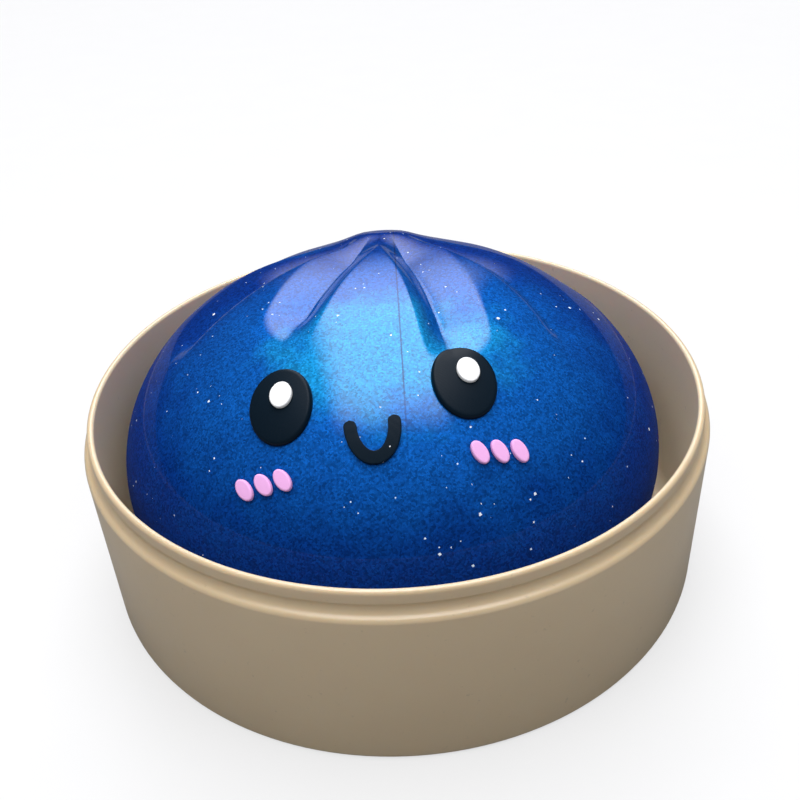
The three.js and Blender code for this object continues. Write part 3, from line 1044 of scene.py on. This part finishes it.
class SQUEEZEBUN_OT_blush(bpy.types.Operator):
    """Bond the three pink ovals of each cheek on to the bun"""

    bl_idname = "squeeze_bun.blush"
    bl_label = "Blush"

    def execute(self, context):
        sizes = context.scene.face_sizes
        form = BunForm(context.scene.bun_sizes)
        plan = FacePlan(form, sizes)
        pink = pad_finish("blush_pink", sizes.pink, 0.9, 0.5, 600.0, 0.1)
        for side, side_name, body in ((-1, "left", "left_cheek"), (1, "right", "right_cheek")):
            for index in range(3):
                across = side * sizes.blush_spread + (index - 1) * sizes.blush_pitch
                bm = oval_sheet(
                    sizes.blush_half_width, sizes.blush_half_height, sizes.blush_slant, 48, 4
                )
                thicken(bm, sizes.blush_thickness, sizes.blush_round)
                plan.lay(bm, across, sizes.blush_rise, sizes.blush_lift)
                bmesh.ops.translate(bm, verts=bm.verts[:], vec=form.centre)
                node = f"blush_{side_name}_{index + 1}"
                name = f"blush_pad_{side_name}_{index + 1}"
                add_pad(bm, name, node, body, pink)
        return {"FINISHED"}


# ---- Stage


def aim(location, target):
    """A transform at a location that looks at a target."""
    turn = (Vector(target) - Vector(location)).to_track_quat("-Z", "Y")
    return Matrix.LocRotScale(Vector(location), turn, None)


def soft_light(name, azimuth, elevation, brightness):
    """A rectangular soft light aimed at the bun, azimuth from the front towards the right."""
    target = Vector((0, 0, 0.03))
    a, e = math.radians(azimuth), math.radians(elevation)
    direction = Vector((math.sin(a) * math.cos(e), -math.cos(a) * math.cos(e), math.sin(e)))
    light = bpy.data.lights.new(name, "AREA")
    light.shape = "RECTANGLE"
    light.size, light.size_y = LIGHT_SIZE
    light.energy = brightness * math.pi * light.size * light.size_y
    lamp = bpy.data.objects.new(name, light)
    lamp.matrix_world = aim(target + direction * LIGHT_DISTANCE, target)
    lamp.visible_camera = False
    bpy.context.scene.collection.objects.link(lamp)
    return lamp


def studio_world(sizes):
    """A soft strip of light from behind to overhead, in a room that is seen as a pale backdrop."""
    world = bpy.data.worlds.new("studio")
    world.use_nodes = True
    nodes = Nodes(world.node_tree)
    x, y, z = nodes.add("ShaderNodeSeparateXYZ", {0: nodes.place("Generated")}).outputs
    over = nodes.maths("ARCTAN2", z, y)
    across = nodes.eased(nodes.maths("ABSOLUTE", x), *map(math.sin, STRIP_SIDES))
    along = nodes.maths("MULTIPLY", nodes.eased(over, *STRIP_RISE), nodes.eased(over, *STRIP_END))
    strip = nodes.maths("MULTIPLY", along, across)
    ray = nodes.add("ShaderNodeLightPath").outputs
    dim, bright = 1.4 * sizes.sky_strength, 1.5 * sizes.sky_strength
    strength = nodes.span(ray["Is Glossy Ray"], 0.0, 1.0, dim, bright)
    room = sizes.fill_strength
    around = nodes.span(ray["Is Diffuse Ray"], 0.0, 1.0, room, room + sizes.diffuse_fill)

    def background(colour, brightness):
        return nodes.add("ShaderNodeBackground", {0: rgba(colour), 1: brightness}).outputs[0]

    sky = background((0.96, 0.96, 1.0), nodes.maths("MULTIPLY", strip, strength))
    fill = background((0.9, 0.95, 1.0), around)
    light = nodes.add("ShaderNodeAddShader", {0: sky, 1: fill}).outputs[0]
    seen = background((1.0, 1.0, 1.0), 1.0)
    mixed = nodes.add("ShaderNodeMixShader", {0: ray["Is Camera Ray"], 1: light, 2: seen})
    nodes.join(mixed.outputs[0], nodes.tree.nodes["World Output"].inputs[0])
    bpy.context.scene.world = world


def floor_paper(sizes):
    """Pale paper, brighter to the eye than as a light on the object."""
    finish = Finish("floor_paper")
    darker, lighter = (rgba(dim * c for c in sizes.floor_colour) for dim in (0.28, 0.30))
    finish.shade(Base_Color=finish.mix(finish.noise(60.0, 3.0), darker, lighter), Roughness=0.9)
    seen = finish.add("ShaderNodeLightPath").outputs["Is Camera Ray"]
    glow = {"Color": rgba((1, 1, 1)), "Strength": finish.maths("MULTIPLY", seen, 0.66)}
    lit = finish.add("ShaderNodeEmission", glow).outputs[0]
    both = finish.add("ShaderNodeAddShader", {0: finish.shader.outputs[0], 1: lit})
    finish.join(both.outputs[0], finish.tree.nodes["Material Output"].inputs["Surface"])
    return finish.material


class SQUEEZEBUN_OT_stage(bpy.types.Operator):
    """Set out the pale floor, the soft lights and the camera"""

    bl_idname = "squeeze_bun.stage"
    bl_label = "Stage"

    def execute(self, context):
        sizes = context.scene.stage_sizes
        bm = bmesh.new()
        bmesh.ops.create_grid(bm, x_segments=8, y_segments=8, size=4.0)
        floor = finish_piece(bm, "studio_floor", floor_paper(sizes), place=Vector((0, 0, 0)))
        studio_world(sizes)
        for name, azimuth, elevation, share_of_key in (
            ("soft_key", -42, 62, 1.0),
            ("soft_side", 52, 60, 0.6),
        ):
            strength = share_of_key * sizes.key_strength
            lamp = soft_light(name, azimuth, elevation, strength)
            lamp.visible_glossy = False
        camera = bpy.data.cameras.new("camera")
        camera.lens = sizes.lens
        camera.sensor_width = 36.0
        camera.shift_x = sizes.shift_x
        camera.shift_y = sizes.shift_y
        camera.clip_start = 0.005
        camera.clip_end = 20.0
        viewer = bpy.data.objects.new("camera", camera)
        viewer.matrix_world = camera_matrix(sizes)
        context.scene.collection.objects.link(viewer)
        context.scene.camera = viewer
        context.scene.view_settings.view_transform = "Standard"
        return {"FINISHED"}


def camera_matrix(sizes):
    forward = Vector((
        math.sin(sizes.yaw) * math.cos(sizes.pitch),
        math.cos(sizes.yaw) * math.cos(sizes.pitch),
        -math.sin(sizes.pitch),
    ))
    level_right = Vector((math.cos(sizes.yaw), -math.sin(sizes.yaw), 0))
    level_up = level_right.cross(forward)
    right = level_right * math.cos(sizes.roll) + level_up * math.sin(sizes.roll)
    up = level_up * math.cos(sizes.roll) - level_right * math.sin(sizes.roll)
    turn = Matrix((right, up, -forward)).transposed()
    place = Vector((0, -sizes.camera_back, sizes.camera_height))
    return Matrix.LocRotScale(place, turn.to_quaternion(), None)


# ---- Add-on


OPERATORS = (
    SQUEEZEBUN_OT_basket,
    SQUEEZEBUN_OT_skin,
    SQUEEZEBUN_OT_gel,
    SQUEEZEBUN_OT_plug,
    SQUEEZEBUN_OT_eyes,
    SQUEEZEBUN_OT_mouth,
    SQUEEZEBUN_OT_blush,
    SQUEEZEBUN_OT_stage,
)


class SQUEEZEBUN_PT_pieces(bpy.types.Panel):
    """The bun's pieces in the order they are made, with their sizes and colours"""

    bl_idname = "SQUEEZEBUN_PT_pieces"
    bl_label = "Squeeze Bun"
    bl_space_type = "VIEW_3D"
    bl_region_type = "UI"
    bl_category = "Squeeze Bun"

    def draw(self, context):
        column = self.layout.column()
        for maker in OPERATORS:
            column.operator(maker.bl_idname)
        for name, group in GROUPS.items():
            settings = getattr(context.scene, name)
            box = self.layout.box()
            box.label(text=group.__doc__)
            for key in group.__annotations__:
                box.prop(settings, key)


CLASSES = (*GROUPS.values(), *OPERATORS, SQUEEZEBUN_PT_pieces)


def register():
    for kind in CLASSES:
        bpy.utils.register_class(kind)
    for name, group in GROUPS.items():
        setattr(bpy.types.Scene, name, PointerProperty(type=group))


def unregister():
    for name in GROUPS:
        delattr(bpy.types.Scene, name)
    for kind in reversed(CLASSES):
        bpy.utils.unregister_class(kind)


def main():
    register()
    bpy.ops.squeeze_bun.basket()
    bpy.ops.squeeze_bun.skin()
    bpy.ops.squeeze_bun.gel()
    bpy.ops.squeeze_bun.plug()
    bpy.ops.squeeze_bun.eyes()
    bpy.ops.squeeze_bun.mouth()
    bpy.ops.squeeze_bun.blush()
    bpy.ops.squeeze_bun.stage()


if __name__ == "__main__":
    main()
